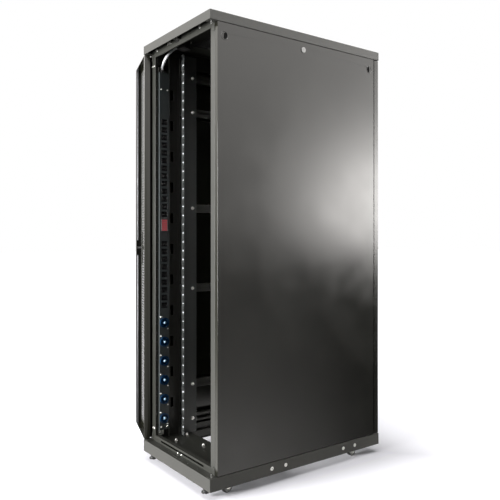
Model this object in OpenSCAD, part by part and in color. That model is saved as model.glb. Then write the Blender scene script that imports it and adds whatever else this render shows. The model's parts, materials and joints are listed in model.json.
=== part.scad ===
// Network server rack cabinet, 42 units, 600 mm wide.
// Millimetres. X runs across the cabinet, Y from the front (-Y) to the rear (+Y), Z up from the floor.
// Drawn with the rear right-hand door leaf folded open. The left-hand leaf is lifted off its pins.

/* [Cabinet] */
// Outside width of the base and the roof
width = 600; // [600:10:800]
// Outside depth of the base and the roof
depth = 1030; // [1000:10:1200]
// Height from the underside of the base to the top of the roof
body_h = 2000; // [2000:10:2100]
// Gap from the floor to the underside of the base
leg_gap = 42; // [40:1:46]

/* [Frame] */
// Height of the base ring
base_h = 55; // [50:1:60]
// Height of the roof skirt
roof_h = 40; // [36:1:50]
// Depth from the base's face back to the corner posts
recess = 38; // [36:1:42]
// Width of a corner post's face
post_w = 32; // [30:1:36]
// Sheet thickness of the frame
sheet_t = 2; // [1.5:0.5:2]

/* [Rack space] */
// Number of rack units on the mounting rails
units = 42; // [36:1:42]
// Front face of the front mounting rails
rail_front_y = -430; // [-440:1:-380]
// Rear face of the rear mounting rails
rail_rear_y = 328; // [300:1:332]

/* [Doors] */
// Thickness of a door from its skin to its lip
door_t = 28; // [26:1:30]
// Opening angle of the rear leaf as drawn
leaf_open = 198; // [0:1:198]
// Travel of the door lock rods
rod_travel = 12; // [8:1:14]

/* [Power strip] */
// Width of the power strip's face
strip_w = 54; // [44:1:56]
// Depth of the power strip behind its face
strip_t = 33; // [25:1:33]
// Lower end of the power strip above the floor
strip_z0 = 146; // [140:1:160]
// Upper end of the power strip above the floor
strip_z1 = 1912; // [1800:1:1915]

/* [Hidden] */
hw = width / 2;
hd = depth / 2;
base_z = leg_gap;
deck_z = base_z + base_h;
top_z = base_z + body_h;
skirt_z = top_z - roof_h;
post_y = hd - recess;
post_x = hw - 20;
lip_x = post_x - post_w;
panel_t = 1.5;
door_z0 = deck_z + 3;
door_z1 = skirt_z - 3.5;
panel_z0 = deck_z + 3;
panel_z1 = skirt_z - 3;
// Rack hole pattern: three square holes in each unit of 44.45 mm.
unit_h = 44.45;
rack_z0 = (deck_z + skirt_z) / 2 - units * unit_h / 2;
rack_hole_x = 232.5;
rail_in_x = 225.5;
rail_out_x = 255.5;
rail_side_d = 90;
// The levels of the side braces, where bolts hold the rails.
mid_z = base_z + body_h / 2;
bolt_z = [mid_z - 871, mid_z - 696, mid_z - 205, mid_z + 205, mid_z + 696, mid_z + 871];
bolt_in = 67;
// Hinge pins of the doors.
pin_x = hw - 10;
pin_y = hd - 14.5;
pin_d = 8;
door_y0 = pin_y - 15;
door_y1 = door_y0 + door_t;
leaf_w = hw - 5;
rod_y = pin_y - 6;
rod_d = 8;
handle_z = mid_z;
// Casters and levelling feet.
caster_x = hw - 50;
caster_y = hd - 134;
trail = 15;
wheel_d = 50;
axle_z = wheel_d / 2;
race_z = deck_z - 8.5;
// The feet are drawn screwed up, clear of the floor by this much.
foot_lift = 19;
foot_x = hw - 63;
foot_y = hd - 18;
// Power strip on the right-hand side, its face towards -X.
strip_x = hw - 60;
strip_y = 432;
socket_pitch = 38;
upper_first = 1668;
upper_count = 13;
lower_first = 1066;
lower_count = 9;
blue_first = 676;
blue_pitch = 94.4;
blue_count = 6;
// The strip's supply lead: diameter, bend, and the level where it runs under the roof.
lead_d = 14;
lead_r = 110;
lead_x = strip_x + strip_t / 2;
lead_y = strip_y + 6;
lead_z = skirt_z + 16;
lead_turn = 17;
// Side panel locks and slide latches.
latch_y = hd - 78;
latch_z = panel_z1 - 56;
lock_z = panel_z1 - 36;
// Insert nuts in the base's sides, in pairs.
insert_y = [146, -300];
insert_gap = 80;
insert_z = base_z + 28;
black = [0.16, 0.16, 0.15];
// The origin lies on the floor under the middle of everything, folded leaf included.
shift_x = 133;
module put() translate([-shift_x, 0, 0]) children();

// A box from one corner to the opposite corner.
module span(a, b) {
  translate([min(a[0], b[0]), min(a[1], b[1]), min(a[2], b[2])])
    cube([abs(b[0] - a[0]), abs(b[1] - a[1]), abs(b[2] - a[2])]);
}

// A vertical round bar between two heights.
module bar(x, y, z0, z1, d) translate([x, y, z0]) cylinder(h = z1 - z0, d = d, $fn = 48);

// A round bar along Y between two depths.
module bar_y(x, z, y0, y1, d) translate([x, y0, z]) rotate([-90, 0, 0]) cylinder(h = y1 - y0, d = d, $fn = 48);

// A round bar along X between two places.
module bar_x(y, z, x0, x1, d) translate([x0, y, z]) rotate([0, 90, 0]) cylinder(h = x1 - x0, d = d, $fn = 48);

// The same shape at both sides of the cabinet's centre plane.
module both_sides() {
  children();
  mirror([1, 0, 0]) children();
}

// The same shape at the rear and at the front.
module both_ends() {
  children();
  mirror([0, 1, 0]) children();
}

// A six-sided bolt head or nut standing on the XY plane.
module hex(af, h) cylinder(h = h, d = af / cos(30), $fn = 6);

module base_frame() color(black) difference() {
  union() {
    difference() {
      span([-hw, -hd, base_z], [hw, hd, deck_z]);
      span([-hw + 2.5, -hd + 2.5, base_z - 1], [hw - 2.5, hd - 2.5, deck_z - 2.5]);
      span([-hw + 42, -265, deck_z - 5], [hw - 42, 265, deck_z + 1]);
    }
    // Flanges turned down around the floor opening.
    difference() {
      span([-hw + 40, -267, deck_z - 30], [hw - 40, 267, deck_z - 1]);
      span([-hw + 42, -265, deck_z - 31], [hw - 42, 265, deck_z]);
    }
    // Lips turned in along the bottom edge.
    difference() {
      span([-hw + 1, -hd + 1, base_z], [hw - 1, hd - 1, base_z + 2.5]);
      span([-hw + 10, -hd + 10, base_z - 1], [hw - 10, hd - 10, base_z + 4]);
    }
    // Shelves in the corners, bored for the levelling feet.
    both_sides() both_ends() span([foot_x - 22, hd - 56, base_z + 14], [hw - 1, hd - 1, base_z + 20]);
  }
  both_sides() both_ends() bar(foot_x, foot_y, base_z + 10, base_z + 24, 12.1);
  // Holes for the lock rods.
  for (p = [[14, rod_y], [-hw + 30, -rod_y]]) bar(p[0], p[1], deck_z - 4, deck_z + 1, rod_d + 1);
  // Ledge holes in front of the rear sill.
  for (x = [-170, -90, 90, 170]) bar(x, hd - 18, deck_z - 4, deck_z + 1, 7);
  both_sides() for (c = insert_y, s = [-1, 1])
    bar_x(c + s * insert_gap / 2, insert_z, hw - 4, hw + 1, 12);
}

// Flanged insert nuts in the base's sides, for stabiliser feet and joining plates.
module base_inserts() color("silver") both_sides() for (c = insert_y, s = [-1, 1])
  difference() {
    union() {
      bar_x(c + s * insert_gap / 2, insert_z, hw - 14, hw, 12);
      bar_x(c + s * insert_gap / 2, insert_z, hw, hw + 1, 17);
    }
    bar_x(c + s * insert_gap / 2, insert_z, hw - 20, hw + 2, 8);
  }

// Where the roof opens for cables: half width, nearest and farthest depth.
roof_slot = [150, 230, 320];

module roof_tray() color(black) difference() {
  span([-hw, -hd, skirt_z], [hw, hd, top_z]);
  span([-hw + sheet_t, -hd + sheet_t, skirt_z - 1], [hw - sheet_t, hd - sheet_t, top_z - sheet_t]);
  span([-roof_slot[0], roof_slot[1], top_z - 5], [roof_slot[0], roof_slot[2], top_z + 1]);
  span([-150, -380, top_z - 5], [150, -300, top_z + 1]);
  // Holes for lifting eyes.
  both_sides() both_ends() bar(hw - 60, hd - 90, top_z - 5, top_z + 1, 13);
}

module roof_cover_plate() color(black) difference() {
  span([-165, -395, top_z], [165, -285, top_z + 1.5]);
  both_sides() for (y = [-388, -292]) bar(157, y, top_z - 1, top_z + 2, 4.5);
}

// Two brush strips with an aluminium holder each, meeting over the cable slot.
module roof_brush_strips() color("dimgray") for (s = [0, 1])
  translate([0, (roof_slot[1] + roof_slot[2]) / 2, 0]) mirror([0, s, 0]) union() {
    span([-roof_slot[0] - 12, 40, top_z], [roof_slot[0] + 12, 56, top_z + 5]);
    span([-roof_slot[0] + 1, 0.3, top_z + 1], [roof_slot[0] - 1, 42, top_z + 4]);
  }

// A corner post: a folded channel, its wide leg at the cabinet's side.
module post() {
  linear_shape = [[0, 0], [post_w, 0], [post_w, -60], [post_w - sheet_t, -60],
    [post_w - sheet_t, -sheet_t], [sheet_t, -sheet_t], [sheet_t, -14], [0, -14]];
  color(black) difference() {
    translate([lip_x, post_y, deck_z]) linear_extrude(top_z - sheet_t - deck_z) polygon(linear_shape);
    // Fixing holes at each unit down the inner lip.
    for (i = [0:units - 1]) bar_x(post_y - 8, rack_z0 + (i + 0.5) * unit_h, lip_x - 1, lip_x + 3, 5);
  }
}

module post_rear_left() mirror([1, 0, 0]) post();
module post_rear_right() post();
module post_front_left() mirror([1, 0, 0]) mirror([0, 1, 0]) post();
module post_front_right() mirror([0, 1, 0]) post();

// A cross member under the roof: face, hemmed lower edge and upper flange.
module header() color(black) difference() {
  union() {
    span([-lip_x, post_y - sheet_t, skirt_z - 18], [lip_x, post_y, top_z - sheet_t]);
    span([-lip_x, post_y - 8, skirt_z - 18], [lip_x, post_y, skirt_z - 8]);
    span([-lip_x, post_y - 30, top_z - 2 * sheet_t], [lip_x, post_y, top_z - sheet_t]);
  }
  for (x = [-160, 236]) bar_y(x, skirt_z + 15, post_y - 12, post_y + 1, 6.2);
}

// A cross member on the base: face with a long slot, and a top flange.
module sill() color(black) difference() {
  union() {
    span([-lip_x, post_y - sheet_t, deck_z], [lip_x, post_y, deck_z + 27]);
    span([-lip_x, post_y - 22, deck_z + 25], [lip_x, post_y, deck_z + 27]);
  }
  span([-190, post_y - 4, deck_z + 9], [190, post_y + 1, deck_z + 17]);
}

module rear_header() header();
module front_header() mirror([0, 1, 0]) header();
module rear_sill() sill();
module front_sill() mirror([0, 1, 0]) sill();

// A lipped channel from post to post. The lips carry the rails, and stop short of the power strip.
module brace(z, lip_end) difference() {
  span([rail_out_x, -post_y + 62, z - 20], [post_x - sheet_t, lip_end, z + 20]);
  span([rail_out_x + sheet_t, -post_y + 60, z - 18], [post_x - 2 * sheet_t, lip_end + 1, z + 18]);
  span([rail_out_x - 1, -post_y + 60, z - 9], [rail_out_x + 5, lip_end + 1, z + 9]);
}

module side_braces() color(black) {
  for (z = bolt_z) union() {
    brace(z, rail_rear_y + 4);
    span([post_x - 2 * sheet_t, -post_y + 16, z - 20], [post_x - sheet_t, post_y - 16, z + 20]);
  }
  // Top and bottom beams between the posts.
  union() {
    span([post_x - 2 * sheet_t, -post_y + 16, skirt_z - 40], [post_x - sheet_t, post_y - 16, top_z - sheet_t]);
    span([rail_out_x + 4, -post_y + 64, top_z - 2 * sheet_t],
      [post_x - sheet_t, post_y - 64, top_z - sheet_t]);
  }
  union() {
    span([post_x - 2 * sheet_t, -post_y + 16, deck_z], [post_x - sheet_t, post_y - 16, deck_z + 35]);
    span([rail_out_x + 4, -post_y + 64, deck_z], [post_x - sheet_t, post_y - 64, deck_z + sheet_t]);
  }
}

module side_braces_right() side_braces();
module side_braces_left() mirror([1, 0, 0]) side_braces();

// A mounting rail: a punched flange across the cabinet and a deep flange along its side.
module rail(y, s) color("lightgray") difference() {
  union() {
    translate([0, y, 0]) rotate([90, 0, 0]) linear_extrude(sheet_t, center = true) difference() {
      translate([rail_in_x, deck_z + 3]) square([rail_out_x - rail_in_x, skirt_z + 19 - deck_z - 3]);
      for (i = [0:units - 1], h = [6.35, 22.225, 38.1])
        translate([rack_hole_x, rack_z0 + i * unit_h + h]) square(9.5, center = true);
    }
    span([rail_out_x - sheet_t, y + s * sheet_t / 2, deck_z + 3], [rail_out_x, y - s * rail_side_d, skirt_z + 19]);
  }
  for (z = bolt_z) bar_x(y - s * (bolt_in - 1), z, rail_out_x - 4, rail_out_x + 1, 8.4);
}

module rail_rear_right() rail(rail_rear_y - sheet_t / 2, 1);
module rail_rear_left() mirror([1, 0, 0]) rail(rail_rear_y - sheet_t / 2, 1);
module rail_front_right() rail(rail_front_y + sheet_t / 2, -1);
module rail_front_left() mirror([1, 0, 0]) rail(rail_front_y + sheet_t / 2, -1);

// Zinc bolts that clamp the rails to the braces: domed flange heads and nuts behind the lips.
module rail_bolts() color("silver") both_sides()
  for (z = bolt_z, y = [rail_rear_y - bolt_in, rail_front_y + bolt_in]) union() {
    bar_x(y, z, rail_out_x - sheet_t - 1.5, rail_out_x - sheet_t, 17);
    translate([rail_out_x - sheet_t - 1.5, y, z]) rotate([0, -90, 0]) hex(13, 5);
    bar_x(y, z, rail_out_x - 4, rail_out_x + 14, 8);
    translate([rail_out_x + 2, y, z]) rotate([0, 90, 0]) hex(13, 5);
  }

// Screws of the headers, the deck and the roof.
module frame_screws() color("silver") {
  for (x = [-160, 236]) union() {
    bar_y(x, skirt_z + 15, post_y, post_y + 3, 13);
    bar_y(x, skirt_z + 15, post_y - 12, post_y + 1, 6);
  }
  for (p = [[240, 303], [197, 390], [59, 318], [-197, 390], [-240, 303]]) union() {
    translate([p[0], p[1], deck_z]) hex(13, 5);
    bar(p[0], p[1], deck_z, deck_z + 1.5, 17);
  }
  for (p = [[102, 368], [173, 340]]) union() {
    translate([p[0], p[1], top_z - sheet_t - 6]) hex(13, 5);
    bar(p[0], p[1], top_z - sheet_t - 1.5, top_z - sheet_t, 15);
  }
}

// Slotted upright channels behind the rails, for power strips and cable ties.
module accessory_channels() color(black) both_sides() difference() {
  linear_extrude_z(deck_z + sheet_t, skirt_z + 8)
    polygon([[248, 336], [post_x - 4, 336], [post_x - 4, 400], [248, 400],
      [248, 398], [post_x - 6, 398], [post_x - 6, 338], [248, 338]]);
  for (i = [0:10]) span([post_x - 8, 362, 240 + 155 * i], [post_x, 378, 290 + 155 * i]);
}

module linear_extrude_z(z0, z1) translate([0, 0, z0]) linear_extrude(z1 - z0) children();

module power_strip_housing() color([0.2, 0.21, 0.21]) difference() {
  span([strip_x, strip_y - strip_w / 2, strip_z0], [strip_x + strip_t, strip_y + strip_w / 2, strip_z1]);
  // Seats for the outlets, the blue sockets and the meter.
  for (i = [0:upper_count - 1]) seat(upper_first - i * socket_pitch, 33, 27);
  for (i = [0:lower_count - 1]) seat(lower_first - i * socket_pitch, 33, 27);
  for (i = [0:blue_count - 1]) bar_x(strip_y, blue_first - i * blue_pitch, strip_x - 1, strip_x + 20, 46);
  seat(1148, 44, 96);
  bar(lead_x, lead_y, strip_z1 - 9, strip_z1 + 1, lead_d + 0.6);
}

module seat(z, w, h) span([strip_x - 1, strip_y - w / 2, z - h / 2], [strip_x + 20, strip_y + w / 2, z + h / 2]);

// One appliance outlet: a body with a shaped recess, an inner tongue and three slots.
module outlet(z) translate([strip_x, strip_y, z]) difference() {
  span([0, -16.5, -13.5], [20, 16.5, 13.5]);
  difference() {
    translate([-1, 0, 0]) rotate([0, 90, 0]) linear_extrude(15)
      polygon([[-8.5, -12.5], [-8.5, 12.5], [4.5, 12.5], [8.5, 8], [8.5, -8], [4.5, -12.5]]);
    span([1, -9.5, -5.5], [16, 9.5, 5.5]);
  }
  for (y = [-5.5, 0, 5.5]) span([0, y - 1.2, -2.4], [10, y + 1.2, 2.4]);
}

module power_strip_outlets() color([0.08, 0.08, 0.08]) {
  for (i = [0:upper_count - 1]) outlet(upper_first - i * socket_pitch);
  for (i = [0:lower_count - 1]) outlet(lower_first - i * socket_pitch);
}

// Round industrial sockets: a blue ring with a collar and three contact holes.
module power_strip_blue_sockets() color([0.25, 0.45, 0.7]) for (i = [0:blue_count - 1])
  translate([strip_x, strip_y, blue_first - i * blue_pitch]) rotate([0, 90, 0]) difference() {
    union() {
      translate([0, 0, -1]) cylinder(h = 21, d = 46, $fn = 64);
      translate([0, 0, -5]) cylinder(h = 5, d = 49, $fn = 64);
    }
    translate([0, 0, -6]) difference() {
      cylinder(h = 18, d = 37, $fn = 64);
      cylinder(h = 18, d = 24, $fn = 64);
    }
    for (a = [90, 210, 330]) rotate([0, 0, a]) translate([7, 0, -6]) cylinder(h = 16, d = 5, $fn = 24);
  }

// The meter's body with a raised window and three keys.
module power_strip_meter() color([0.3, 0.3, 0.31]) translate([strip_x, strip_y, 1148]) union() {
  span([0, -22, -48], [20, 22, 48]);
  span([-1.5, -17, -14], [1, 17, 42]);
  for (y = [-12, 0, 12]) bar_x(y, -30, -1.5, 1, 8);
}

module power_strip_brackets() color("silver") for (z = [strip_z0, strip_z1], s = [z == strip_z0 ? -1 : 1])
  union() {
    span([strip_x + strip_t, strip_y - 15, z - s * 40], [post_x - 2 * sheet_t, strip_y + 15, z + s * 34]);
    bar_x(strip_y, z + s * 22, strip_x + strip_t - 4, strip_x + strip_t, 12);
  }

// Places a shape at the lead's exit, turned so that -X is the way the lead bends.
module at_lead() translate([lead_x, lead_y, 0]) rotate([0, 0, lead_turn]) children();

// The supply lead: up out of the strip, and over in a quarter bend to its gland under the roof.
module power_lead() color([0.55, 0.56, 0.57]) at_lead() union() {
  bar(0, 0, strip_z1 - 8, lead_z - lead_r, lead_d);
  translate([-lead_r, 0, lead_z - lead_r]) rotate([90, 0, 0]) intersection() {
    rotate_extrude($fn = 96) translate([lead_r, 0]) circle(d = lead_d, $fn = 48);
    span([0, 0, -20], [150, 150, 20]);
  }
  bar_x(0, lead_z, -lead_r - 16, -lead_r, lead_d);
}

// The junction box under the roof where the supply lead ends in a gland.
module lead_gland_box() color([0.3, 0.3, 0.3]) at_lead() difference() {
  union() {
    span([-lead_r - 72, -12, skirt_z - 4], [-lead_r - 22, 28, top_z - sheet_t]);
    bar_x(0, lead_z, -lead_r - 23, -lead_r - 2, 24);
  }
  bar_x(0, lead_z, -lead_r - 17, -lead_r, lead_d + 0.4);
}

// A side panel: a sheet tray with flanges turned in, cut for its lock and its two latches.
module side_panel() color(black) difference() {
  span([hw, -post_y, panel_z0], [post_x + 0.5, post_y, panel_z1]);
  span([hw - panel_t, -post_y + panel_t, panel_z0 + panel_t],
    [post_x, post_y - panel_t, panel_z1 - panel_t]);
  bar_x(0, lock_z, hw - 3, hw + 1, 19.1);
  both_ends() latch_hole(17);
}

module latch_hole(w) {
  span([hw - 3, latch_y - w / 2, latch_z - 14.5 + w / 2], [hw + 1, latch_y + w / 2, latch_z + 14.5 - w / 2]);
  for (s = [-1, 1]) bar_x(latch_y, latch_z + s * (14.5 - w / 2), hw - 3, hw + 1, w);
}

module side_panel_right() side_panel();
module side_panel_left() mirror([1, 0, 0]) side_panel();

// A cam lock: face ring, barrel with a key slot, and the cam arm behind the skin.
module panel_lock() color("silver") difference() {
  union() {
    bar_x(0, lock_z, hw + 0.1, hw + 3, 25);
    bar_x(0, lock_z, hw - 14, hw + 1, 19);
    span([hw - 14, -6, lock_z], [hw - 11, 6, lock_z + 24]);
  }
  span([hw + 1, -1, lock_z - 5], [hw + 4, 1, lock_z + 5]);
}

module panel_lock_right() panel_lock();
module panel_lock_left() mirror([1, 0, 0]) panel_lock();

// Slide latches: a rounded thumb block in each long hole, held by a plate behind the skin.
module panel_latches() color([0.3, 0.3, 0.3]) both_ends() union() {
  span([hw - 1.6, latch_y - 8.2, latch_z - 5.8], [hw - 0.3, latch_y + 8.2, latch_z - 4.2]);
  for (z = [-5.8, -4.2]) bar_x(latch_y, latch_z + z, hw - 1.6, hw - 0.3, 16.4);
  span([hw - 4, latch_y - 12, latch_z - 18], [hw - 1.6, latch_y + 12, latch_z + 18]);
}

module panel_latches_right() panel_latches();
module panel_latches_left() mirror([1, 0, 0]) panel_latches();

// A door tray of one width: skin frame, flanges on four sides, and lips on both long sides.
// Drawn closed at the rear, from the hinge edge at the right.
module door_tray(w) difference() {
  union() {
    difference() {
      span([hw - 3 - w, door_y0, door_z0], [hw - 3, door_y1, door_z1]);
      span([hw - 4.5 - w + 3, door_y0 - 1, door_z0 + panel_t],
        [hw - 3 - panel_t, door_y1 - panel_t, door_z1 - panel_t]);
    }
    for (x = [hw - 3 - w, hw - 3 - 16])
      span([x, door_y0, door_z0], [x + 16, door_y0 + panel_t, door_z1]);
    // Blocks that take the hinge pins.
    for (z = [door_z0, door_z1 - 22]) span([pin_x - 9, pin_y - 10, z], [hw - 3, pin_y + 11, z + 22]);
  }
  span([hw - 3 - w + 34, door_y1 - 4, door_z0 + 34], [hw - 3 - 34, door_y1 + 1, door_z1 - 34]);
  for (z = [door_z0 - 1, door_z1 - 20]) bar(pin_x, pin_y, z, z + 21, pin_d + 0.1);
  rod_holes(w);
}

// Holes in a door's top and bottom flanges for its lock rods.
module rod_holes(w) for (z = [door_z0 - 1, door_z1 - 3]) bar(rod_x(w), rod_y, z, z + 4, rod_d + 0.2);

// Where the lock rods run: behind the free edge of a door of one width.
function rod_x(w) = hw - 3 - w + 17 - (w > hw ? -10 : 5);

// The perforated sheet behind the skin frame, cut away round the handle's spindle.
module door_mesh(w) color([0.2, 0.2, 0.19]) difference() {
  span([hw - 3 - w + 22, door_y1 - panel_t - 1.2, door_z0 + 22],
    [hw - 3 - 22, door_y1 - panel_t - 0.1, door_z1 - 22]);
  bar_y(rod_x(w), handle_z, door_y1 - 10, door_y1 + 1, 18);
}

// The escutcheon of a swing handle, on the outside of a door near its free edge.
module handle_plate(w) color([0.1, 0.1, 0.1]) difference() {
  union() {
    span([rod_x(w) - 14, door_y1, handle_z - 85], [rod_x(w) + 16, door_y1 + 5, handle_z + 85]);
    bar_y(rod_x(w), handle_z, door_y1 + 4, door_y1 + 8, 26);
  }
  bar_y(rod_x(w), handle_z, door_y1 - 1, door_y1 + 9, 14.1);
}

// The lever, its spindle through the door and the crank behind the skin.
module handle_lever(w) color([0.12, 0.12, 0.12]) union() {
  bar_y(rod_x(w), handle_z, door_y0 + 5, door_y1 + 18, 14);
  bar_y(rod_x(w), handle_z, door_y1 + 9, door_y1 + 18, 26);
  span([rod_x(w), door_y1 + 10, handle_z - 11], [rod_x(w) + 118, door_y1 + 18, handle_z + 11]);
  bar_y(rod_x(w) + 118, handle_z, door_y1 + 10, door_y1 + 18, 22);
}

// A lock rod from the handle to one end of the door. s is 1 for the upper rod.
module rod(w, s) color("silver") {
  tip = s > 0 ? door_z1 - 0.5 : door_z0 + 0.5;
  inner = handle_z + s * 40;
  bar(rod_x(w), rod_y, min(tip, inner), max(tip, inner), rod_d);
}

// The rear right-hand leaf, folded open about its pins.
module leaf_pose() translate([pin_x, pin_y, 0]) rotate([0, 0, -leaf_open]) translate([-pin_x, -pin_y, 0]) children();

module spindle_hole(w) difference() {
  children();
  bar_y(rod_x(w), handle_z, door_y1 - 5, door_y1 + 1, 16);
}

module rear_leaf_tray() color(black) leaf_pose() spindle_hole(leaf_w) door_tray(leaf_w);
module rear_leaf_mesh() leaf_pose() door_mesh(leaf_w);
module rear_handle_plate() leaf_pose() handle_plate(leaf_w);
module rear_handle_lever() leaf_pose() handle_lever(leaf_w);
module rear_rod_upper() leaf_pose() rod(leaf_w, 1);
module rear_rod_lower() leaf_pose() rod(leaf_w, -1);

door_w = width - 6;
module front_place() mirror([0, 1, 0]) children();
module front_door_tray() color(black) front_place() spindle_hole(door_w) door_tray(door_w);
module front_door_mesh() front_place() door_mesh(door_w);
module front_handle_plate() front_place() handle_plate(door_w);
module front_handle_lever() front_place() handle_lever(door_w);
module front_rod_upper() front_place() rod(door_w, 1);
module front_rod_lower() front_place() rod(door_w, -1);

// Hinge plates with fixed pins, under the roof and on the base.
module hinge_brackets() color([0.5, 0.5, 0.5]) {
  both_sides() hinge_pair();
  mirror([0, 1, 0]) hinge_pair();
}

module hinge_pair() {
  union() {
    span([post_x - 16, post_y, deck_z], [hw - 2, pin_y + 9, deck_z + sheet_t]);
    span([post_x - 16, post_y, deck_z], [post_x, post_y + sheet_t, deck_z + 34]);
    bar(pin_x, pin_y, deck_z, deck_z + 20, pin_d);
  }
  union() {
    span([post_x - 16, post_y, skirt_z - 2.5], [hw - 2, pin_y + 9, skirt_z - 0.5]);
    span([post_x - 16, post_y, skirt_z - 36], [post_x, post_y + sheet_t, skirt_z - 0.5]);
    bar(pin_x, pin_y, skirt_z - 20, skirt_z - 2.5, pin_d);
  }
}

// Keeper plates that take the lock rods, over and under each door, and the bump ring on the header.
module door_keepers() color("silver") {
  for (p = [[rod_x(leaf_w), 1], [rod_x(door_w), -1]]) {
    difference() {
      union() {
        span([p[0] - 14, p[1] * post_y, skirt_z + 2], [p[0] + 14, p[1] * (rod_y + 9), skirt_z + 4]);
        span([p[0] - 14, p[1] * post_y, skirt_z + 2], [p[0] + 14, p[1] * (post_y + 2), skirt_z + 24]);
      }
      bar(p[0], p[1] * rod_y, skirt_z, skirt_z + 6, rod_d + 1);
    }
    difference() {
      span([p[0] - 22, p[1] * post_y, deck_z], [p[0] + 22, p[1] * (rod_y + 9), deck_z + 1.5]);
      bar(p[0], p[1] * rod_y, deck_z - 1, deck_z + 3, rod_d + 1);
    }
  }
}

module at_caster(sx, sy) translate([sx * caster_x, sy * caster_y, 0]) children();

module caster_plates() color("silver") for (sx = [-1, 1], sy = [-1, 1]) at_caster(sx, sy) difference() {
  union() {
    span([-30, -30, deck_z - 5.5], [30, 30, deck_z - 2.5]);
    bar(0, 0, race_z, deck_z - 5, 36);
  }
  bar(0, 0, race_z - 1, deck_z - 3.5, 10.1);
}

// A swivel fork with its stem and axle, trailing towards the rear.
module caster_fork() color("silver") union() {
  bar(0, 0, race_z - 4.5, race_z - 0.3, 38);
  bar(0, 0, race_z - 4, deck_z - 4, 10);
  both_sides() rotate([90, 0, 90]) translate([0, 0, 11]) linear_extrude(2.5)
    polygon([[-17, race_z - 1.5], [17, race_z - 1.5], [trail + 8, axle_z], [trail + 5.6, axle_z - 6],
      [trail, axle_z - 8], [trail - 5.6, axle_z - 6], [trail - 8, axle_z]]);
  bar_x(trail, axle_z, -15, 15, 8);
}

module caster_wheel() color([0.12, 0.12, 0.12]) translate([0, trail, axle_z]) rotate([0, 90, 0]) difference() {
  union() {
    cylinder(h = 18, d = wheel_d - 4, center = true, $fn = 96);
    cylinder(h = 14, d = wheel_d, center = true, $fn = 96);
    cylinder(h = 20, d = 16, center = true, $fn = 48);
  }
  cylinder(h = 30, d = 8.1, center = true, $fn = 48);
}

module caster_fork_rear_left() at_caster(-1, 1) caster_fork();
module caster_fork_rear_right() at_caster(1, 1) caster_fork();
module caster_fork_front_left() at_caster(-1, -1) caster_fork();
module caster_fork_front_right() at_caster(1, -1) caster_fork();
module caster_wheels_rear_left() at_caster(-1, 1) caster_wheel();
module caster_wheels_rear_right() at_caster(1, 1) caster_wheel();
module caster_wheels_front_left() at_caster(-1, -1) caster_wheel();
module caster_wheels_front_right() at_caster(1, -1) caster_wheel();

// A levelling foot: pad, hexagon and threaded stud.
module levelling_foot() color([0.35, 0.35, 0.35]) translate([0, 0, foot_lift]) union() {
  cylinder(h = 5, d = 34, $fn = 64);
  translate([0, 0, 5]) cylinder(h = 5, d = 24, $fn = 48);
  translate([0, 0, 10]) hex(19, 8);
  cylinder(h = deck_z - foot_lift - 4, d = 12, $fn = 48);
}

module levelling_feet_rear() both_sides() translate([foot_x, foot_y, 0]) levelling_foot();
module levelling_feet_front() both_sides() translate([foot_x, -foot_y, 0]) levelling_foot();

put() base_frame();
put() base_inserts();
put() roof_tray();
put() roof_cover_plate();
put() roof_brush_strips();
put() post_rear_left();
put() post_rear_right();
put() post_front_left();
put() post_front_right();
put() rear_header();
put() rear_sill();
put() front_header();
put() front_sill();
put() side_braces_left();
put() side_braces_right();
put() rail_front_left();
put() rail_front_right();
put() rail_rear_left();
put() rail_rear_right();
put() rail_bolts();
put() frame_screws();
put() accessory_channels();
put() power_strip_housing();
put() power_strip_outlets();
put() power_strip_blue_sockets();
put() power_strip_meter();
put() power_strip_brackets();
put() power_lead();
put() lead_gland_box();
put() side_panel_left();
put() side_panel_right();
put() panel_lock_left();
put() panel_lock_right();
put() panel_latches_left();
put() panel_latches_right();
put() rear_leaf_tray();
put() rear_leaf_mesh();
put() rear_handle_plate();
put() rear_handle_lever();
put() rear_rod_upper();
put() rear_rod_lower();
put() front_door_tray();
put() front_door_mesh();
put() front_handle_plate();
put() front_handle_lever();
put() front_rod_upper();
put() front_rod_lower();
put() hinge_brackets();
put() door_keepers();
put() caster_plates();
put() caster_fork_rear_left();
put() caster_fork_rear_right();
put() caster_fork_front_left();
put() caster_fork_front_right();
put() caster_wheels_rear_left();
put() caster_wheels_rear_right();
put() caster_wheels_front_left();
put() caster_wheels_front_right();
put() levelling_feet_rear();
put() levelling_feet_front();
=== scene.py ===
"""A 42-unit network server rack cabinet, seen from its rear left corner.

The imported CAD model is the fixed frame. This script adds the camera, the light, the
materials and the detail that the CAD leaves out: the pierced door sheets, the supply lead,
the power strip's screws, caps and display, the domed faces of the bolts, the rails' unit
marks, the rings round the latches and the brush bristles.

Everything is in metres, and places come from the boxes of the CAD nodes. Profiles and
screw sizes are in millimetres, as their comments say.
"""

import json
import math

import bmesh
import bpy
from mathutils import Matrix, Vector


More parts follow.
